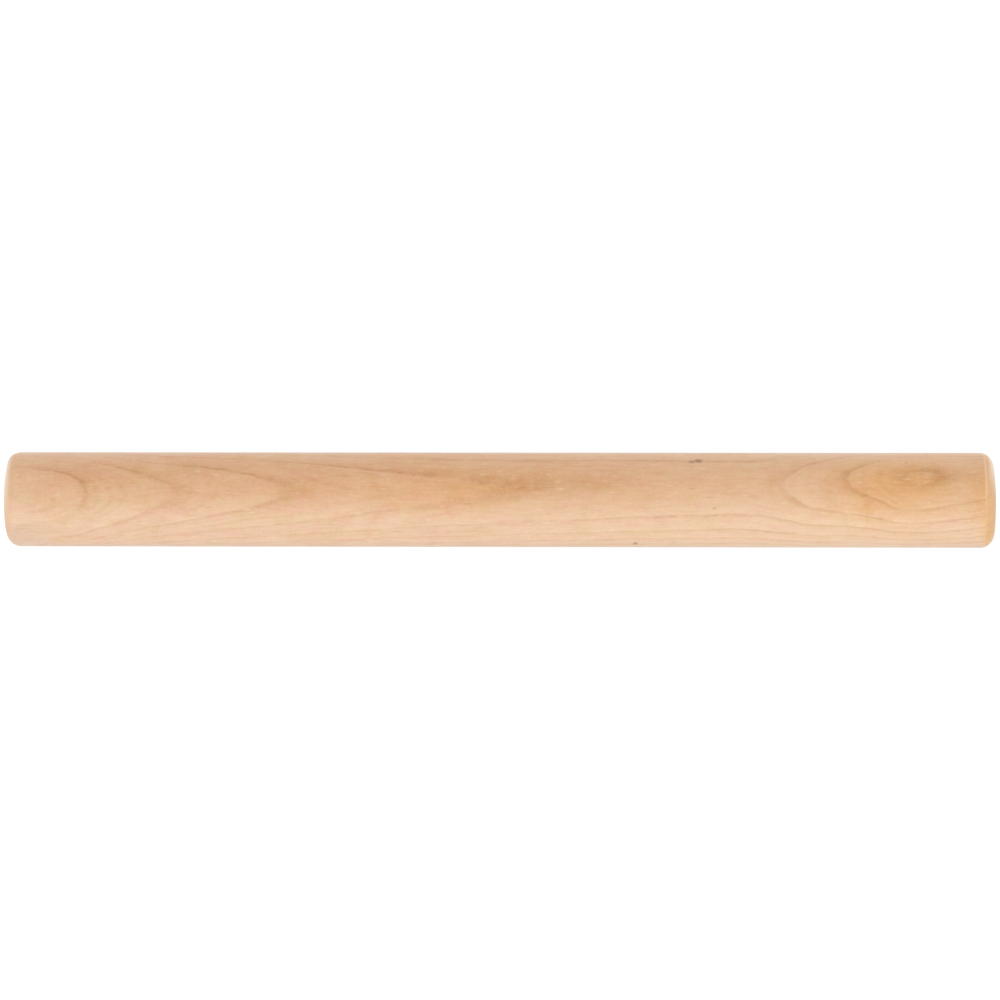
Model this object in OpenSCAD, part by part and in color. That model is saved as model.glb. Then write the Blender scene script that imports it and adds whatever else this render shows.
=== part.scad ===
// French rolling pin: one straight dowel of pale hardwood, with no handles and no axle.
// The axis of the dowel lies along X, with the middle of the dowel at the origin.
// Each end is sawn square, and an arc that meets the barrel at a soft crease eases its edge.

/* [Dowel] */
// Length of the dowel, from end face to end face
pin_length = 520; // [250:1:700]
// Diameter of the barrel
pin_diameter = 50; // [36:0.5:80]

/* [Ends] */
// Length of the eased edge, measured along the dowel from its end face
ease_length = 6; // [1:0.1:7.5]
// Radius of the arc that eases the edge
ease_radius = 7.5; // [7.5:0.1:24]

/* [Hidden] */
// Fineness of the round shapes
$fn = 180;
barrel_radius = pin_diameter / 2;
// Distance from the middle of the dowel to the centre of each end's arc
arc_offset = pin_length / 2 - ease_radius;
// How far the arc comes in from the barrel before it is square to the dowel
arc_reach = sqrt(pow(ease_radius, 2) - pow(ease_radius - ease_length, 2));
end_face_radius = barrel_radius - arc_reach;

// The dowel's lengthwise section on one side of its axis: the radius runs to the right
module section() {
    intersection() {
        translate([0, -pin_length / 2])
            square([barrel_radius, pin_length]);
        union() {
            translate([0, -arc_offset])
                square([barrel_radius, 2 * arc_offset]);
            translate([0, -pin_length / 2])
                square([end_face_radius, pin_length]);
            for (end = [-1, 1])
                translate([end_face_radius, end * arc_offset])
                    circle(r = ease_radius);
        }
    }
}

module dowel() {
    color([0.89, 0.74, 0.59])
        rotate([0, 90, 0])
            rotate_extrude()
                section();
}

dowel();
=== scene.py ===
"""French rolling pin: the looks of one straight maple dowel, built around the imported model."""

import math

import bpy
import numpy as np
from mathutils import Matrix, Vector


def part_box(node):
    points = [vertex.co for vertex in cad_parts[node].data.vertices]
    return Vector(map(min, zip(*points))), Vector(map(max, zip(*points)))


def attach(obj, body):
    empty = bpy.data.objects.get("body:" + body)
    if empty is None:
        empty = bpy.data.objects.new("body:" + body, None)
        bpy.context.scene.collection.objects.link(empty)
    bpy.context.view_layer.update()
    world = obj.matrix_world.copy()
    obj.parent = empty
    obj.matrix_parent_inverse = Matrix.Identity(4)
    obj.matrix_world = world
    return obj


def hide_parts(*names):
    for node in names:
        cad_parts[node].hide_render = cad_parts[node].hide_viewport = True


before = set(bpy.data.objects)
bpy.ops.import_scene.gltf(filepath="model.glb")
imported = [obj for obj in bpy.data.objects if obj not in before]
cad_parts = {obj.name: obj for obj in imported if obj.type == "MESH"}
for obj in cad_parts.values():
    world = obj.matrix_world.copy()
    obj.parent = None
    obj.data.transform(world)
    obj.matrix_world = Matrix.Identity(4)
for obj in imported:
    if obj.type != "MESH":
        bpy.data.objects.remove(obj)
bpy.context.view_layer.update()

MM = 0.001

# Sizes of the dowel, in millimetres, as in the CAD model
box_low, box_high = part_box("dowel")
HALF_LENGTH = (box_high.x - box_low.x) / 2 / MM
BARREL_RADIUS = (box_high.z - box_low.z) / 2 / MM
EASE_LENGTH = 6.0
EASE_RADIUS = 7.5
EASE_DEPTH = math.sqrt(EASE_RADIUS ** 2 - (EASE_RADIUS - EASE_LENGTH) ** 2)
FACE_RADIUS = BARREL_RADIUS - EASE_DEPTH
CREASE_X = HALF_LENGTH - EASE_LENGTH
SEED = 41


def srgb(red, green, blue):
    """A colour given on the screen's 0 to 255 scale, as linear light."""
    out = []
    for value in (red, green, blue):
        v = value / 255
        out.append(v / 12.92 if v <= 0.04045 else ((v + 0.055) / 1.055) ** 2.4)
    return (*out, 1.0)


# Shape of the turned dowel, in millimetres

# Fineness of the mesh: segments round the dowel, rings on each end face, and steps along the outline
SEGMENTS = 232
FACE_RINGS = 9
BARREL_STEP = 1.5
CREASE_STEP = 0.3
ARC_STEP = 0.7
OUTLINE_STEP = 0.05

# How widely sanding has rounded each crease
LEFT_CREASE_SOFTNESS = 0.45
RIGHT_CREASE_SOFTNESS = 0.35
# Share of its ease that the left end's edge lacks, on its near side and on its far side
LEFT_FULLNESS_NEAR = 0.15
LEFT_FULLNESS_FAR = 0.5
# How much shorter the far side of each end is than its near side
LEFT_LEAN = 0.9
RIGHT_LEAN = 0.5
# The shaping of an end starts this far before its crease, and is full after this length
FADE_LEAD = 2
FADE_LENGTH = 3

# Sets of waves: how many, their shortest and longest length, and the most whole waves round the dowel
SANDING_WAVES = (14, 14, 60, 3)
STROKE_WAVES = (22, 7, 18, 9)
RIM_WAVES = (5, 200, 400, 5)
SANDING_DEPTH = 0.035
STROKE_DEPTH = 0.012
# How far the rim wanders, the radius where that starts, and the width over which it becomes full
RIM_WANDER = 0.12
WANDER_RADIUS = 12
WANDER_FADE = 6

# Shallow knocks: how many, the least gap from an end, their widths and depths, and how drawn out they are
KNOCKS = 16
KNOCK_END_GAP = 12
KNOCK_WIDTH = (1.2, 2.6)
KNOCK_DEPTH = (0.03, 0.09)
KNOCK_STRETCH = 1.6

# Layout of the texture: the barrel and its edges are one strip, and each end face is a disc above it
STRIP_MARGIN = 0.01
STRIP_WIDTH = 0.98
STRIP_HEIGHT = 0.78
DISC_RADIUS = 0.085
DISC_GAP = 0.2
DISC_CENTRES = ((0.12, 0.9), (0.32, 0.9))


def path_run(points):
    """Distance along a line of points, at each point."""
    return np.concatenate([[0], np.cumsum(np.hypot(*np.diff(points, axis=0).T))])


def end_profile(softness):
    """Points (x, r) from the barrel, over a sanded crease, to near the middle of the flat end face."""
    arc_middle = HALF_LENGTH - EASE_RADIUS
    crease_angle = math.asin(EASE_DEPTH / EASE_RADIUS)
    barrel_x = np.arange(HALF_LENGTH - 4 * EASE_LENGTH, CREASE_X, OUTLINE_STEP)
    barrel = np.stack([barrel_x, np.full(len(barrel_x), BARREL_RADIUS)], 1)
    turn = np.arange(crease_angle, 0, -OUTLINE_STEP / EASE_RADIUS)
    arc_x = arc_middle + EASE_RADIUS * np.cos(turn)
    arc_r = FACE_RADIUS + EASE_RADIUS * np.sin(turn)
    arc = np.stack([arc_x, arc_r], 1)
    face_r = np.arange(FACE_RADIUS, 0, -OUTLINE_STEP)
    face = np.stack([np.full(len(face_r), HALF_LENGTH), face_r], 1)
    line = np.concatenate([barrel, arc, face])

    # A soft filter along the outline rounds the crease
    blur_points = int(4 * softness / OUTLINE_STEP)
    offset = np.arange(-blur_points, blur_points + 1) * OUTLINE_STEP / softness
    kernel = np.exp(-0.5 * offset ** 2)
    kernel /= kernel.sum()
    padded = np.pad(line, ((blur_points, blur_points), (0, 0)), mode="edge")
    soft = np.stack([np.convolve(padded[:, k], kernel, mode="valid") for k in range(2)], 1)
    soft[:blur_points] = line[:blur_points]

    run = path_run(soft)
    crease_run = run[len(barrel)]
    arc_end_run = run[len(barrel) + len(arc)]
    near_crease = EASE_LENGTH / 3
    arc_stations = round((arc_end_run - crease_run) / ARC_STEP)
    stations = np.concatenate([
        np.arange(crease_run - near_crease, crease_run + near_crease, CREASE_STEP),
        np.linspace(crease_run + near_crease, arc_end_run, arc_stations),
        np.linspace(arc_end_run, run[-1], FACE_RINGS + 1)[1:-1],
    ])
    return np.stack([np.interp(stations, run, soft[:, k]) for k in range(2)], 1)


def waves(rng, count, shortest, longest, turns):
    """A seeded sum of gentle waves: rows of (waves per mm along, whole waves round, phase, share)."""
    rows = []
    for _ in range(count):
        wavelength = rng.uniform(shortest, longest)
        around = rng.integers(0, turns + 1)
        phase = rng.uniform(0, 2 * math.pi)
        weight = rng.uniform(0.4, 1)
        rows.append((1 / wavelength, around, phase, weight))
    total = sum(row[3] for row in rows)
    return [(along, around, phase, weight / total) for along, around, phase, weight in rows]


def wave_height(rows, x, angle):
    """Height of a sum of waves, between -1 and 1."""
    height = 0
    for along, around, phase, share in rows:
        height = height + share * np.sin(2 * math.pi * along * x + around * angle + phase)
    return height


def make_dowel():
    rng = np.random.default_rng(SEED)
    left = end_profile(LEFT_CREASE_SOFTNESS)
    right = end_profile(RIGHT_CREASE_SOFTNESS)
    left = left[::-1] * (-1, 1)
    inner = left[-1, 0], right[0, 0]
    steps = round((inner[1] - inner[0]) / BARREL_STEP)
    barrel_x = np.linspace(inner[0], inner[1], steps + 1)[1:-1]
    barrel = np.stack([barrel_x, np.full(len(barrel_x), BARREL_RADIUS)], 1)
    profile = np.concatenate([left, barrel, right])
    rings = len(profile)

    angle = np.linspace(0, 2 * math.pi, SEGMENTS, endpoint=False) + math.pi
    x = np.repeat(profile[:, :1], SEGMENTS, 1)
    r = np.repeat(profile[:, 1:], SEGMENTS, 1)
    a = np.repeat(angle[None], rings, 0)

    # The lathe and the sander leave the barrel a few hundredths of a millimetre from true
    sanding = waves(rng, *SANDING_WAVES)
    strokes = waves(rng, *STROKE_WAVES)
    sanding_loss = SANDING_DEPTH * (1 + wave_height(sanding, x, a))
    stroke_loss = STROKE_DEPTH * (1 + wave_height(strokes, x, a))
    r = r - (sanding_loss + stroke_loss) * np.clip(r / BARREL_RADIUS, 0, 1) ** 2

    # Shallow knocks from use
    for _ in range(KNOCKS):
        place = rng.uniform(-HALF_LENGTH + KNOCK_END_GAP, HALF_LENGTH - KNOCK_END_GAP)
        side = rng.uniform(0, 2 * math.pi)
        width = rng.uniform(*KNOCK_WIDTH)
        depth = rng.uniform(*KNOCK_DEPTH)
        around = (a - side + math.pi) % (2 * math.pi) - math.pi
        gap = np.hypot((x - place) / KNOCK_STRETCH, around * BARREL_RADIUS)
        r = r - depth * np.exp(-(gap / width) ** 2)

    # The hand-sanded easing wanders a little along the rim
    rim = waves(rng, *RIM_WAVES)
    wander = wave_height(rim, np.sign(x) * HALF_LENGTH, a)
    near_end = np.clip((np.abs(x) - (CREASE_X - FADE_LEAD)) / FADE_LENGTH, 0, 1)
    on_rim = np.clip((r - WANDER_RADIUS) / WANDER_FADE, 0, 1)
    x = x - np.sign(x) * RIM_WANDER * (1 + wander) * near_end * on_rim

    # The left end's edge is eased less than the right one's, least of all on its far side
    far = np.clip(np.sin(a), 0, 1) ** 2
    fullness = np.where(x < 0, LEFT_FULLNESS_NEAR + (LEFT_FULLNESS_FAR - LEFT_FULLNESS_NEAR) * far, 0)
    rim_radius = profile[FACE_RINGS - 1, 1]
    on_flat = np.minimum(r / rim_radius, 1)
    r = r + (BARREL_RADIUS - np.maximum(r, rim_radius)) * on_flat * fullness * near_end

    # Neither end is sawn quite square: the far side of each is a little shorter
    across = r * np.sin(a)
    lean = np.where(x < 0, LEFT_LEAN, RIGHT_LEAN) * (BARREL_RADIUS + across) / (2 * BARREL_RADIUS)
    x = x - np.sign(x) * lean * near_end

    y = r * np.sin(a)
    z = r * np.cos(a)
    coords = np.stack([x, y, z], 2).reshape(-1, 3) * MM
    centres = np.array([[x[0].mean(), 0, 0], [x[-1].mean(), 0, 0]]) * MM
    coords = np.concatenate([coords, centres])

    faces = []
    uvs = []
    run = path_run(profile)
    first = FACE_RINGS - 1
    last = rings - FACE_RINGS
    along = np.clip((run - run[first]) / (run[last] - run[first]), 0, 1)
    strip_u = STRIP_MARGIN + STRIP_WIDTH * along
    strip_v = STRIP_MARGIN + STRIP_HEIGHT * np.arange(SEGMENTS + 1) / SEGMENTS
    disc_scale = DISC_RADIUS / (max(r[first].max(), r[last].max()) + DISC_GAP)

    def disc_uv(end, ring, seg):
        """Place on an end's disc. The left end's disc is mirrored, so that both are seen from outside."""
        s = seg % SEGMENTS
        radius = r[ring, s] * disc_scale
        return (
            DISC_CENTRES[end][0] + radius * math.sin(angle[s]) * (1 if end else -1),
            DISC_CENTRES[end][1] + radius * math.cos(angle[s]),
        )

    for ring in range(rings - 1):
        for seg in range(SEGMENTS):
            after = (seg + 1) % SEGMENTS
            faces.append((
                ring * SEGMENTS + seg,
                (ring + 1) * SEGMENTS + seg,
                (ring + 1) * SEGMENTS + after,
                ring * SEGMENTS + after,
            ))
            if ring < first or ring >= last:
                end = int(ring >= last)
                uvs += [disc_uv(end, ring, seg), disc_uv(end, ring + 1, seg),
                        disc_uv(end, ring + 1, seg + 1), disc_uv(end, ring, seg + 1)]
            else:
                uvs += [(strip_u[ring], strip_v[seg]), (strip_u[ring + 1], strip_v[seg]),
                        (strip_u[ring + 1], strip_v[seg + 1]), (strip_u[ring], strip_v[seg + 1])]
    for end, ring in ((0, 0), (1, rings - 1)):
        for seg in range(SEGMENTS):
            after = (seg + 1) % SEGMENTS
            rim_pair = (ring * SEGMENTS + seg, ring * SEGMENTS + after)
            uv_pair = (disc_uv(end, ring, seg), disc_uv(end, ring, seg + 1))
            if end == 0:
                faces.append((rings * SEGMENTS + end, rim_pair[0], rim_pair[1]))
                uvs += [DISC_CENTRES[end], uv_pair[0], uv_pair[1]]
            else:
                faces.append((rings * SEGMENTS + end, rim_pair[1], rim_pair[0]))
                uvs += [DISC_CENTRES[end], uv_pair[1], uv_pair[0]]

    mesh = bpy.data.meshes.new("rolling_dowel")
    mesh.from_pydata(coords.tolist(), [], faces)
    layer = mesh.uv_layers.new(name="OFBake")
    layer.data.foreach_set("uv", np.array(uvs, np.float32).ravel())
    mesh.polygons.foreach_set("use_smooth", np.ones(len(mesh.polygons), bool))
    mesh.update()
    dowel = bpy.data.objects.new("rolling_dowel", mesh)
    bpy.context.scene.collection.objects.link(dowel)
    return dowel


# Node graph helpers


class Graph:
    """Short calls for shader nodes. Values are sockets or plain numbers, and lengths are in millimetres."""

    def __init__(self, tree):
        self.tree = tree
        self.tree.nodes.clear()

    def add(self, kind, **settings):
        node = self.tree.nodes.new(kind)
        for key, value in settings.items():
            setattr(node, key, value)
        return node

    def put(self, socket, value):
        if isinstance(value, bpy.types.NodeSocket):
            self.tree.links.new(value, socket)
        else:
            socket.default_value = value

    def math(self, operation, *values):
        node = self.add("ShaderNodeMath", operation=operation)
        for socket, value in zip(node.inputs, values):
            self.put(socket, value)
        return node.outputs[0]

    def distance(self, first, second):
        """Length of a line from its two legs."""
        squares = self.math("ADD", self.math("MULTIPLY", first, first), self.math("MULTIPLY", second, second))
        return self.math("SQRT", squares)

    def vector(self, x, y, z):
        node = self.add("ShaderNodeCombineXYZ")
        for socket, value in zip(node.inputs, (x, y, z)):
            self.put(socket, value)
        return node.outputs[0]

    def range(self, value, low, high, out_low=0.0, out_high=1.0, smooth=True):
        """Takes low to out_low and high to out_high, and stops there."""
        node = self.add("ShaderNodeMapRange", interpolation_type="SMOOTHSTEP" if smooth else "LINEAR")
        for name, number in (("Value", value), ("From Min", low), ("From Max", high),
                             ("To Min", out_low), ("To Max", out_high)):
            self.put(node.inputs[name], number)
        return node.outputs[0]

    def curve(self, value, knots, straight=False):
        """A line through (in, out) knots: smooth, or straight between them."""
        ins = [k[0] for k in knots]
        outs = [k[1] for k in knots]
        in_low, in_span = min(ins), max(ins) - min(ins)
        out_low, out_span = min(outs), max(outs) - min(outs)
        node = self.add("ShaderNodeFloatCurve")
        points = node.mapping.curves[0].points
        for number, knot in enumerate(knots):
            place = ((knot[0] - in_low) / in_span, (knot[1] - out_low) / out_span)
            if number == 0:
                points[0].location = place
            elif number == len(knots) - 1:
                points[-1].location = place
            else:
                points.new(*place)
        for point in points:
            point.handle_type = "VECTOR" if straight else "AUTO_CLAMPED"
        node.mapping.update()
        share = self.math("MULTIPLY_ADD", value, 1 / in_span, -in_low / in_span)
        self.put(node.inputs["Value"], share)
        return self.math("MULTIPLY_ADD", node.outputs[0], out_span, out_low)

    def noise(self, place, detail=2.0, roughness=0.5):
        """Smooth noise about 0.5."""
        node = self.add("ShaderNodeTexNoise")
        self.put(node.inputs["Vector"], place)
        self.put(node.inputs["Scale"], 1.0)
        self.put(node.inputs["Detail"], detail)
        self.put(node.inputs["Roughness"], roughness)
        self.put(node.inputs["Distortion"], 0.0)
        return node.outputs["Fac"]

    def stretched(self, place, along, across, offset):
        """The place in units of along and across. The offset sets each pattern apart from the others."""
        scale = self.add("ShaderNodeVectorMath", operation="MULTIPLY_ADD")
        self.put(scale.inputs[0], place)
        self.put(scale.inputs[1], (1 / along, 1 / across, 1 / across))
        self.put(scale.inputs[2], (offset, offset, offset))
        return scale.outputs[0]

    def cells(self, place):
        """Distance to the nearest of many scattered points, and that point's own random colour."""
        node = self.add("ShaderNodeTexVoronoi", feature="F1")
        self.put(node.inputs["Vector"], place)
        self.put(node.inputs["Scale"], 1.0)
        self.put(node.inputs["Randomness"], 1.0)
        return node.outputs["Distance"], node.outputs["Color"]

    def mix(self, share, first, second, blend="MIX"):
        node = self.add("ShaderNodeMix", data_type="RGBA", blend_type=blend, clamp_factor=True)
        self.put(node.inputs["Factor"], share)
        for socket, value in ((node.inputs[6], first), (node.inputs[7], second)):
            self.put(socket, value)
        return node.outputs[2]


# Growth rings, which run along the pin and meet its surface in long arches

# Depth of the tree's heart below the middle of the dowel
PITH_DEPTH = 50.0
# Place along the pin, and the level of growth at the middle of the arches there
CROWN_LEVEL = [
    (-262, 17.5), (-234, 16.0), (-208, 12.0), (-182, 8.5), (-155, 6.5), (-110, 4.0), (-50, 1.25), (6, 0.0),
    (55, -0.5), (95, -1.0), (125, -1.25), (148, 0.0), (165, 2.25), (182, 4.0), (200, 6.0),
    (211, 7.4), (221, 7.7), (231, 7.4), (245, 6.8), (262, 6.2),
]
# Place along the pin, and the angle in degrees from the top to the middle of the arches there
CROWN_SIDE = [
    (-262, 4), (-197, 6), (-145, 10), (-77, 11), (6, 13), (80, 17),
    (147, 18), (189, 26), (221, 28), (262, 34),
]
# Level of growth, and the count of rings at it
RING_LEVELS = [
    (-70, -16), (-21.5, -5), (-17.25, -4), (-13, -3), (-8.75, -2), (-4.25, -1), (0, 0), (4, 1), (7.4, 2),
    (13.5, 3), (19.5, 4), (28, 6),
]
# How far the arches sway round the pin, in radians, and how ragged the rings are
SIDE_SWAY = 0.08
RING_RAGGEDNESS = 0.3
# Distance between the faint false rings, and how far that wanders, in radians of their ripple
FALSE_RING_STEP = 1.05
FALSE_RING_WANDER = 9.0
LINE_WEIGHT = 0.36

# Colours of the wood

CREAM = srgb(215, 182, 153)
PINK = srgb(213, 174, 148)
STRAW = srgb(211, 176, 142)
FLECK = srgb(140, 98, 62)
PALE_DASH = srgb(226, 197, 167)
END_GRAIN = srgb(208, 162, 111)
END_PALE = srgb(218, 177, 130)
# Colour of the painted highlight along the right crease
CREASE_HIGHLIGHT = srgb(234, 194, 150)
# Pale colour of the painted highlight on the eased rims, also used to pale the wood near the left end
PALE_TONE_AND_HIGHLIGHT = srgb(238, 220, 203)
EARLY = srgb(236, 207, 172)

# Each tint is what the wood keeps of its own red, green and blue where the tint is full
# Painted shade, darker and warmer, over the far half of the pin
FAR_SHADE_TINT = (0.97, 0.83, 0.68, 1.0)
LATE_TINT = (0.90, 0.82, 0.70, 1.0)
LINE_TINT = (0.76, 0.71, 0.63, 1.0)
TAN_AND_SHADE_TINT = (0.87, 0.765, 0.50, 1.0)
GOLD_TINT = (1.0, 0.915, 0.69, 1.0)
ROSE_TINT = (1.0, 0.93, 0.93, 1.0)
OLIVE_TINT = (0.955, 0.985, 0.89, 1.0)
FIBRE_TINT = (0.88, 0.83, 0.74, 1.0)
SHADE_TINT = (0.86, 0.87, 0.90, 1.0)
GREY_TINT = (0.86, 0.84, 0.90, 1.0)

# Distance across the pin, from the near side to the far side, and how far each painted shade goes there:
# darker and warmer over the far half, and darker at the near edge
FAR_SHADE_ACROSS = [(-25, 0.1), (-15, 0.0), (-8, 0.25), (0, 0.6), (6, 0.85), (11, 1.0), (18, 0.95),
               (21.5, 0.78), (23.5, 0.55), (25, 0.3)]
SHADE_ACROSS = [(-25, 1.0), (-24, 0.75), (-22.5, 0.4), (-21, 0.15), (-18, 0.0), (0, 0.0), (25, 0.0)]
# How far the painted far-side shade wanders across the pin
FAR_SHADE_DRIFT = 12.0

SHEEN = 0.3
SHEEN_ROUGHNESS = 0.28
BUMP_STRENGTH = 0.5
BUMP_HEIGHT = 0.05

# Small dark marks: place along the pin, angle round from the top, half length, half width, strength
DARK_MARKS = [
    (101.5, 53, 2.4, 1.8, 0.6),
    (105, 55.5, 2.9, 2.5, 0.8),
    (72, -66, 1.8, 2.4, 0.8),
    (113, -10, 1.4, 1.0, 0.4),
    (141, -42, 1.6, 1.2, 0.2),
    (213, 52, 1.0, 1.0, 0.5),
]
# Patches a little deeper in colour than the wood round them, given in the same way; the one at 258 mm is
# painted shade
TAN_AND_SHADE_PATCHES = [
    (2, 12, 26, 6, 0.8),
    (14, 15, 14, 4, 0.5),
    (54, 17, 24, 5, 0.35),
    (-35, 36, 30, 4, 0.5),
    (-100, 11, 8, 5, 0.6),
    (-168, 13, 6, 6, 0.35),
    (-216, 5, 5, 10, 0.4),
    (189, 10, 10, 6, 0.35),
    (193, -10, 5, 12, 0.5),
    (229, 25, 8, 6, 0.4),
    (142, 18, 8, 9, 0.3),
    # Painted shade on the lower, near half of the right end's eased band
    (258, -50, 7, 18, 1.0),
    (249, 8, 10, 26, 0.35),
]
# Broad golden patches, given in the same way
GOLD_PATCHES = [
    (205, 12, 58, 32, 1.0),
    (192, 8, 22, 22, 0.2),
    (216, 26, 30, 16, 0.6),
    (-25, 12, 60, 18, 0.6),
    (256, -15, 9, 30, 1.0),
    (250, 12, 12, 26, 0.5),
]
# Greyer patches, given in the same way
GREY_PATCHES = [
    (-250, -52, 22, 15, 0.8),
]
# Each kind of patch: its rows, its colour, how it blends, and the share of its size where it starts to fade
PATCH_KINDS = [
    (GOLD_PATCHES, GOLD_TINT, "MULTIPLY", 0.0),
    (TAN_AND_SHADE_PATCHES, TAN_AND_SHADE_TINT, "MULTIPLY", -0.2),
    (GREY_PATCHES, GREY_TINT, "MULTIPLY", 0.0),
    (DARK_MARKS, FLECK, "MIX", 0.3),
]
PATCH_RAGGEDNESS = 0.8


def wood_material():
    material = bpy.data.materials.new("maple")
    material.use_nodes = True
    g = Graph(material.node_tree)
    coords = g.add("ShaderNodeTexCoord").outputs["Object"]
    scale = g.add("ShaderNodeVectorMath", operation="SCALE")
    g.put(scale.inputs[0], coords)
    g.put(scale.inputs["Scale"], 1 / MM)
    place = scale.outputs[0]
    split = g.add("ShaderNodeSeparateXYZ")
    g.put(split.inputs[0], place)
    x, y, z = split.outputs
    angle = g.math("ARCTAN2", y, z)

    def swing(value, amount):
        """A noise value about 0.5, as one about zero that spans amount."""
        return g.math("MULTIPLY_ADD", value, amount, -amount / 2)

    # Depth in the tree: level of growth, count of rings, and the share of its ring that has grown
    sway = g.noise(g.stretched(place, 26, 14, 3.7), detail=2.0)
    side = g.math("ADD", g.math("RADIANS", g.curve(x, CROWN_SIDE)), swing(sway, SIDE_SWAY))
    pith_y = g.math("MULTIPLY_ADD", g.math("SINE", side), PITH_DEPTH, y)
    pith_z = g.math("MULTIPLY_ADD", g.math("COSINE", side), PITH_DEPTH, z)
    reach = g.distance(pith_y, pith_z)
    below_top = g.math("SUBTRACT", reach, PITH_DEPTH + BARREL_RADIUS)
    level = g.math("ADD", below_top, g.curve(x, CROWN_LEVEL))
    feather = g.noise(g.stretched(place, 5, 1.2, 8.1), detail=3.0)
    level = g.math("ADD", level, swing(feather, RING_RAGGEDNESS))
    ring = g.curve(level, RING_LEVELS, straight=True)
    share = g.math("FRACT", ring)

    # Plain wood: soft blotches, painted shade that makes the far side warmer and darker, paler to the right
    # and at the left end, and painted shade darkening the near edge
    blotch = g.noise(g.stretched(place, 30, 9, 1.3), detail=2.0)
    blotch_pink = g.noise(g.stretched(place, 20, 7, 5.9), detail=2.0)
    colour = g.mix(g.math("MULTIPLY", g.range(blotch, 0.35, 0.65), 0.8), CREAM, STRAW)
    colour = g.mix(g.math("MULTIPLY", g.range(blotch_pink, 0.4, 0.7), 0.8), colour, PINK)
    rose = g.noise(g.stretched(place, 9, 5, 12.7), detail=3.0, roughness=0.6)
    olive = g.noise(g.stretched(place, 10, 6, 15.2), detail=3.0, roughness=0.6)
    colour = g.mix(g.range(rose, 0.45, 0.7), colour, ROSE_TINT, blend="MULTIPLY")
    colour = g.mix(g.range(olive, 0.45, 0.7), colour, OLIVE_TINT, blend="MULTIPLY")
    curl = g.noise(g.stretched(place, 4, 6, 25.1), detail=2.0)
    colour = g.mix(g.range(curl, 0.5, 0.75, 0.0, 0.5), colour, OLIVE_TINT, blend="MULTIPLY")
    colour = g.mix(g.range(curl, 0.5, 0.25, 0.0, 0.5), colour, ROSE_TINT, blend="MULTIPLY")
    cloud = g.noise(g.stretched(place, 13, 5, 33.3), detail=2.0)
    colour = g.mix(g.range(cloud, 0.5, 0.75, 0.0, 0.22), colour, FIBRE_TINT, blend="MULTIPLY")
    colour = g.mix(g.range(cloud, 0.5, 0.25, 0.0, 0.18), colour, PALE_DASH)
    drift = g.noise(g.stretched(place, 70, 30, 6.6), detail=1.0)
    across = g.math("ADD", y, swing(drift, FAR_SHADE_DRIFT))
    colour = g.mix(g.curve(across, FAR_SHADE_ACROSS), colour, FAR_SHADE_TINT, blend="MULTIPLY")
    colour = g.mix(g.range(x, 0.0, 150.0, 0.0, 0.18), colour, PALE_DASH)
    colour = g.mix(g.range(x, -252.0, -225.0, 0.10, 0.0), colour, PALE_TONE_AND_HIGHLIGHT)
    colour = g.mix(g.curve(y, SHADE_ACROSS), colour, SHADE_TINT, blend="MULTIPLY")

    # Faint false rings inside each year's growth, which come and go
    unevenness = g.noise(g.stretched(place, 60, 16, 17.5), detail=2.0)
    even_phase = g.math("MULTIPLY", level, 2 * math.pi / FALSE_RING_STEP)
    ripple = g.math("SINE", g.math("MULTIPLY_ADD", unevenness, FALSE_RING_WANDER, even_phase))
    ripple_place = g.vector(
        g.math("DIVIDE", x, 24),
        g.math("MULTIPLY_ADD", level, 0.5, g.math("DIVIDE", z, 22)),
        g.math("DIVIDE", y, 21),
    )
    ripple_strength = g.range(g.noise(ripple_place, detail=2.0), 0.42, 0.68, 0.0, 0.36)
    false_ring = g.math("MULTIPLY", g.range(ripple, -0.2, 1.0), ripple_strength)
    colour = g.mix(false_ring, colour, LATE_TINT, blend="MULTIPLY")

    # Late wood deepens towards each ring's end, where a thin dark line closes it before pale early wood.
    # The rings are fainter at the left end and at the far edge, and plainer on the far side.
    strength_place = g.vector(
        g.math("DIVIDE", x, 28),
        g.math("MULTIPLY_ADD", ring, 0.9, g.math("DIVIDE", g.math("SUBTRACT", z, BARREL_RADIUS), 31)),
        g.math("DIVIDE", y, 31),
    )
    strength = g.range(g.noise(strength_place, detail=2.0), 0.3, 0.7, 0.4, 0.9)
    at_left_end = g.range(x, -HALF_LENGTH + 2.0, -HALF_LENGTH + 44.0, 0.3, 1.0)
    strength = g.math("MULTIPLY", strength, at_left_end)
    strength = g.math("MULTIPLY", strength, g.range(y, 17.5, 21.5, 1.0, 0.5))
    near_strength = g.range(x, -50.0, 130.0, 0.5, 0.8)
    far_strength = g.range(y, -2.0, 14.0, 0.0, 1.2)
    strength = g.math("MULTIPLY", strength, g.math("MAXIMUM", near_strength, far_strength))
    stroke_place = g.vector(
        g.math("DIVIDE", x, 6),
        g.math("MULTIPLY_ADD", ring, 1.7, g.math("DIVIDE", z, 9)),
        g.math("DIVIDE", y, 9),
    )
    stroke = g.range(g.noise(stroke_place, detail=2.0), 0.35, 0.65, 0.55, 1.5)
    late = g.math("POWER", g.range(share, 0.5, 1.0, smooth=False), 2.0)
    colour = g.mix(g.math("MULTIPLY", late, strength), colour, LATE_TINT, blend="MULTIPLY")
    early = g.math("MULTIPLY", g.range(share, 0.06, 0.55, 1.0, 0.0), g.range(share, 0.0, 0.06))
    early_weight = g.range(y, -10.0, 6.0, 0.17, 0.04)
    early_weight = g.math("MULTIPLY", g.math("MULTIPLY", early, strength), early_weight)
    colour = g.mix(early_weight, colour, EARLY)
    line_in = g.range(share, 0.80, 0.98)
    line_out = g.range(share, 0.0, 0.06, 1.0, 0.0)
    line = g.math("MAXIMUM", line_in, line_out)
    line_weight = g.math("MULTIPLY", strength, LINE_WEIGHT)
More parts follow.
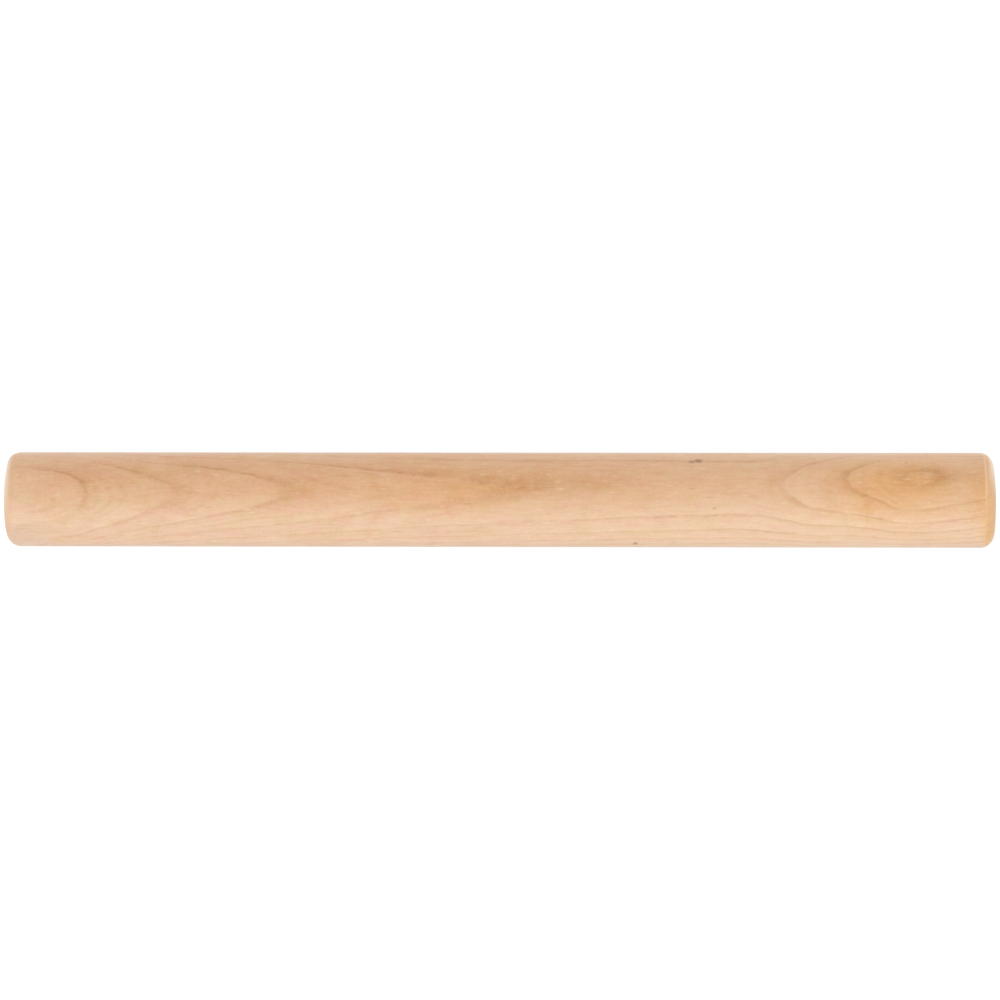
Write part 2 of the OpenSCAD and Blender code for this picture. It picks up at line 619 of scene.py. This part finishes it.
    line_weight = g.math("MULTIPLY", g.math("MULTIPLY", line, stroke), line_weight)
    colour = g.mix(line_weight, colour, LINE_TINT, blend="MULTIPLY")

    # Patches and marks, laid out on the unrolled barrel
    spot_place = g.vector(x, g.math("MULTIPLY", angle, BARREL_RADIUS), 0.0)

    def spot(along, degrees, half_length, half_width, core):
        """An oval with a ragged edge: full as far as the core share of its size, and gone at its edge."""
        shift = g.add("ShaderNodeVectorMath", operation="SUBTRACT")
        g.put(shift.inputs[0], spot_place)
        g.put(shift.inputs[1], (along, math.radians(degrees) * BARREL_RADIUS, 0))
        shrink = g.add("ShaderNodeVectorMath", operation="MULTIPLY")
        g.put(shrink.inputs[0], shift.outputs[0])
        g.put(shrink.inputs[1], (1 / half_length, 1 / half_width, 0))
        size = g.add("ShaderNodeVectorMath", operation="LENGTH")
        g.put(size.inputs[0], shrink.outputs[0])
        ragged = g.math("ADD", size.outputs["Value"], swing(feather, PATCH_RAGGEDNESS))
        return g.range(ragged, core, 1.0, 1.0, 0.0)

    for rows, patch_colour, blend, core in PATCH_KINDS:
        for along, degrees, half_length, half_width, strongest in rows:
            weight = g.math("MULTIPLY", spot(along, degrees, half_length, half_width, core), strongest)
            colour = g.mix(weight, colour, patch_colour, blend=blend)

    # Fibres, mottling, the short dashes that rays leave, and pores
    fibre = g.noise(g.stretched(place, 6, 0.32, 2.2), detail=2.0, roughness=0.6)
    grain = g.noise(g.stretched(place, 9, 1.1, 9.4), detail=3.0, roughness=0.55)
    colour = g.mix(g.range(fibre, 0.5, 0.8, 0.0, 0.16), colour, FIBRE_TINT, blend="MULTIPLY")
    colour = g.mix(g.range(fibre, 0.5, 0.2, 0.0, 0.08), colour, PALE_DASH)
    colour = g.mix(g.range(grain, 0.5, 0.75, 0.0, 0.35), colour, FIBRE_TINT, blend="MULTIPLY")
    colour = g.mix(g.range(grain, 0.5, 0.25, 0.0, 0.2), colour, PALE_DASH)
    mottle = g.noise(g.stretched(place, 1.6, 1.8, 21.3), detail=2.0, roughness=0.6)
    colour = g.mix(g.range(mottle, 0.5, 0.75, 0.0, 0.22), colour, FIBRE_TINT, blend="MULTIPLY")
    colour = g.mix(g.range(mottle, 0.5, 0.25, 0.0, 0.15), colour, PALE_DASH)

    def dashes(length, width, offset, size):
        """Scattered dashes along the fibres, and random numbers that pick some of them out."""
        gap, tint = g.cells(g.stretched(place, length, width, offset))
        pick = g.add("ShaderNodeSeparateColor")
        g.put(pick.inputs[0], tint)
        return g.range(gap, size * 0.4, size, 1.0, 0.0), pick.outputs

    dash, pick = dashes(9.0, 1.8, 0.7, 0.32)
    dark_dash = g.math("MULTIPLY", dash, g.range(pick[0], 0.6, 1.0, 0.0, 0.8))
    pale_dash = g.math("MULTIPLY", dash, g.range(pick[1], 0.6, 1.0, 0.0, 0.45))
    colour = g.mix(dark_dash, colour, FIBRE_TINT, blend="MULTIPLY")
    colour = g.mix(pale_dash, colour, PALE_DASH)
    dot, pick = dashes(1.6, 0.34, 4.4, 0.3)
    pore = g.math("MULTIPLY", dot, g.range(pick[0], 0.6, 0.9))
    colour = g.mix(g.math("MULTIPLY", pore, 0.45), colour, LINE_TINT, blend="MULTIPLY")

    # End grain is deeper in colour, with fine rays across the rings and the sander's scratches
    right_end = g.range(x, CREASE_X - 0.4, CREASE_X + 0.5)
    left_end = g.range(g.math("MULTIPLY", x, -1.0), CREASE_X + 1.0, CREASE_X + 4.0)
    end = g.math("MAXIMUM", right_end, g.math("MULTIPLY", left_end, 0.6))
    radius = g.distance(y, z)
    on_face = g.range(radius, FACE_RADIUS, FACE_RADIUS + 2.0, 1.0, 0.0)
    pith_angle = g.math("ARCTAN2", pith_y, pith_z)
    ray_place = g.vector(g.math("MULTIPLY", pith_angle, 110), g.math("DIVIDE", reach, 5), 0.0)
    rays = g.noise(ray_place, detail=2.0)
    pore_place = g.vector(0.0, g.math("MULTIPLY", y, 2.6), g.math("MULTIPLY", z, 2.6))
    end_gap, _ = g.cells(pore_place)
    end_pores = g.math("MULTIPLY", g.range(end_gap, 0.08, 0.26, 1.0, 0.0), on_face)
    scratch_place = g.vector(
        0.0,
        g.math("DIVIDE", g.math("ADD", y, z), 14),
        g.math("MULTIPLY", g.math("SUBTRACT", y, z), 1.7),
    )
    scratches = g.noise(scratch_place, detail=3.0, roughness=0.7)
    end_cloud = g.noise(g.vector(0.0, g.math("DIVIDE", y, 7), g.math("DIVIDE", z, 7)), detail=3.0)
    end_colour = g.mix(g.range(end_cloud, 0.35, 0.65, 0.0, 0.5), END_GRAIN, END_PALE)
    end_colour = g.mix(g.range(rays, 0.5, 0.7, 0.0, 0.4), end_colour, CREAM)
    end_line = g.math("MULTIPLY", line, g.range(radius, FACE_RADIUS - 1.0, FACE_RADIUS + 4.0, 0.7, 0.3))
    end_colour = g.mix(end_line, end_colour, LINE_TINT, blend="MULTIPLY")
    end_colour = g.mix(g.math("MULTIPLY", false_ring, 0.8), end_colour, LATE_TINT, blend="MULTIPLY")
    end_colour = g.mix(g.math("MULTIPLY", end_pores, 0.5), end_colour, LINE_TINT, blend="MULTIPLY")
    scratch_share = g.math("MULTIPLY", g.range(scratches, 0.5, 0.7, 0.0, 0.5), on_face)
    end_colour = g.mix(scratch_share, end_colour, FIBRE_TINT, blend="MULTIPLY")
    colour = g.mix(g.math("MULTIPLY", end, 0.8), colour, end_colour)

    # Painted highlights: the right crease and both eased edges are painted pale, mostly on the far side and
    # the top
    on_edge = g.range(radius, FACE_RADIUS - 3.0, FACE_RADIUS + 2.5)
    # Painted highlight along the right crease, stronger on the far side
    crease_in = g.range(x, CREASE_X - 0.7, CREASE_X)
    crease_out = g.range(x, CREASE_X + 0.3, CREASE_X + 1.2, 1.0, 0.0)
    crease_highlight_share = g.range(y, -6.0, 8.0, 0.1, 0.55)
    crease_highlight = g.math("MULTIPLY", g.math("MINIMUM", crease_in, crease_out), crease_highlight_share)
    colour = g.mix(crease_highlight, colour, CREASE_HIGHLIGHT)
    at_right = g.range(x, CREASE_X + 0.5, HALF_LENGTH - 1.0)
    at_left = g.range(x, 1.0 - HALF_LENGTH, 5.0 - HALF_LENGTH, 1.0, 0.0)
    right_highlight = g.math("MULTIPLY", at_right, g.range(y, 0.0, 21.0, 0.05, 0.95))
    left_highlight = g.math("MULTIPLY", at_left, g.range(y, -16.0, 12.0, 0.12, 0.8))
    rim_highlight = g.math("MULTIPLY", g.math("MAXIMUM", right_highlight, left_highlight), on_edge)
    rim_highlight = g.math("MULTIPLY", rim_highlight, g.range(z, -22.0, 12.0, 0.3, 1.0))
    rim_highlight = g.math("MULTIPLY", rim_highlight, g.range(feather, 0.2, 0.6, 0.75, 1.0))
    colour = g.mix(rim_highlight, colour, PALE_TONE_AND_HIGHLIGHT)

    # A dry satin surface, rougher on the end grain, with fibres, pores, lines and scratches in low relief
    rough = g.range(fibre, 0.3, 0.7, 0.46, 0.56)
    rough = g.math("MULTIPLY_ADD", late, -0.04, rough)
    rough = g.math("MULTIPLY_ADD", end, 0.12, rough)
    height = g.math("MULTIPLY_ADD", fibre, 0.5, g.math("MULTIPLY", pore, -0.8))
    height = g.math("MULTIPLY_ADD", line, -0.25, height)
    height = g.math("MULTIPLY_ADD", end_pores, -0.8, height)
    height = g.math("MULTIPLY_ADD", scratch_share, -0.8, height)
    bump = g.add("ShaderNodeBump")
    g.put(bump.inputs["Strength"], BUMP_STRENGTH)
    g.put(bump.inputs["Distance"], BUMP_HEIGHT * MM)
    g.put(bump.inputs["Height"], height)
    shader = g.add("ShaderNodeBsdfPrincipled")
    g.put(shader.inputs["Base Color"], colour)
    g.put(shader.inputs["Roughness"], rough)
    g.put(shader.inputs["Normal"], bump.outputs[0])
    g.put(shader.inputs["Sheen Weight"], SHEEN)
    g.put(shader.inputs["Sheen Roughness"], SHEEN_ROUGHNESS)
    output = g.add("ShaderNodeOutputMaterial")
    g.put(output.inputs["Surface"], shader.outputs[0])
    return material


dowel = make_dowel()
dowel.data.materials.append(wood_material())
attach(dowel, "root")
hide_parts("dowel")


# Floor, lights and camera, in metres. The key light's angle is in degrees, and the camera's turns in radians.

WHITE = (1, 1, 1, 1)
FLOOR_HALF = 3.0
FLOOR_GLOW = 0.95
FLOOR_TONE = 0.1
FLOOR_ROUGHNESS = 0.9
SKY = 1.03
KEY_ANGLE = 45.0
KEY_DISTANCE = 1.5
KEY_LENGTH = 1.8
KEY_WIDTH = 0.7
KEY_POWER = 6.8
CAMERA_X = 0.0855
CAMERA_Y = -0.0001
CAMERA_HEIGHT = 2.195
CAMERA_AIM = -0.00025
CAMERA_ROLL = 0.0012
CAMERA_LENS = 150
CAMERA_SENSOR = 36
CAMERA_CLIP = (0.05, 50)

# A white glowing floor, on which the pin leaves almost no shadow
floor_z = -BARREL_RADIUS * MM
floor_corners = ((-1, -1), (1, -1), (1, 1), (-1, 1))
floor_mesh = bpy.data.meshes.new("floor")
floor_mesh.from_pydata(
    [(sx * FLOOR_HALF, sy * FLOOR_HALF, floor_z) for sx, sy in floor_corners],
    [],
    [(0, 1, 2, 3)],
)
floor = bpy.data.objects.new("floor", floor_mesh)
bpy.context.scene.collection.objects.link(floor)
floor_material = bpy.data.materials.new("pale_floor")
floor_material.use_nodes = True
floor_shader = floor_material.node_tree.nodes["Principled BSDF"]
floor_shader.inputs["Base Color"].default_value = (FLOOR_TONE, FLOOR_TONE, FLOOR_TONE, 1)
floor_shader.inputs["Roughness"].default_value = FLOOR_ROUGHNESS
floor_shader.inputs["Specular IOR Level"].default_value = 0.0
floor_shader.inputs["Emission Color"].default_value = WHITE
floor_shader.inputs["Emission Strength"].default_value = FLOOR_GLOW
floor_mesh.materials.append(floor_material)

world = bpy.data.worlds.new("studio")
world.use_nodes = True
world.node_tree.nodes["Background"].inputs["Color"].default_value = WHITE
world.node_tree.nodes["Background"].inputs["Strength"].default_value = SKY
bpy.context.scene.world = world

# A weak broad light from the near side
key_data = bpy.data.lights.new("key", "AREA")
key_data.shape = "RECTANGLE"
key_data.size = KEY_LENGTH
key_data.size_y = KEY_WIDTH
key_data.energy = KEY_POWER
key = bpy.data.objects.new("key", key_data)
tilt = math.radians(KEY_ANGLE)
key.matrix_world = (
    Matrix.Translation((0, -KEY_DISTANCE * math.sin(tilt), KEY_DISTANCE * math.cos(tilt)))
    @ Matrix.Rotation(tilt, 4, "X")
)
key.visible_camera = False
bpy.context.scene.collection.objects.link(key)

# The camera is above the pin, a little towards its right end, and points close to the pin's middle
camera_data = bpy.data.cameras.new("camera")
camera_data.lens = CAMERA_LENS
camera_data.sensor_width = CAMERA_SENSOR
camera_data.clip_start, camera_data.clip_end = CAMERA_CLIP
camera = bpy.data.objects.new("camera", camera_data)
camera.matrix_world = (
    Matrix.Translation((CAMERA_X, CAMERA_Y, CAMERA_HEIGHT))
    @ Matrix.Rotation(math.atan2(CAMERA_X, CAMERA_HEIGHT) + CAMERA_AIM, 4, "Y")
    @ Matrix.Rotation(CAMERA_ROLL, 4, "Z")
)
bpy.context.scene.collection.objects.link(camera)
bpy.context.scene.camera = camera
bpy.context.scene.view_settings.view_transform = "Standard"
bpy.context.scene.view_settings.look = "None"
